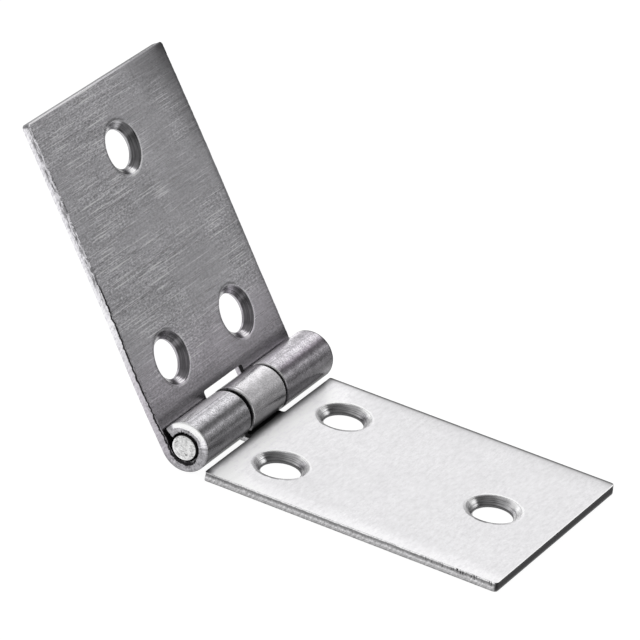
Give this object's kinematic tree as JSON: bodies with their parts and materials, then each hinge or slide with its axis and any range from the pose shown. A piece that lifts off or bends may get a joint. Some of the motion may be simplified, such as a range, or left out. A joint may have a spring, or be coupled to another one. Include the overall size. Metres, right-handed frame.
{
  "type": "wide butt hinge",
  "caption": "Wide butt hinge: two long flat leaves with countersunk screw holes, rolled round one pin.",
  "frame": {"origin": "on the back plane of the single-knuckle leaf, straight below the middle of the pin, where the flat sheet begins to roll up into the knuckle", "axes": "+X from the pin to the free end of the single-knuckle leaf, +Y along the pin, +Z out of that leaf's countersunk face; the other leaf stands at its stored opening angle"},
  "size_m": [0.0676, 0.0304, 0.0362],
  "materials": {
    "leaf_steel": "brushed along the pin, sheared edges left rough",
    "pin_steel": "drawn wire, cut ends"
  },
  "bodies": {
    "fixed_leaf": {"one_knuckle_leaf": "leaf_steel", "hinge_pin": "pin_steel"},
    "swing_leaf": {"two_knuckle_leaf": "leaf_steel"}
  },
  "joints": [
    {"name": "leaf_swing", "type": "hinge", "parent": "fixed_leaf", "child": "swing_leaf", "pos_m": [0, 0, 0.0031], "axis": [0, 1, 0], "range_deg": [-55.5, 124.5]}
  ]
}
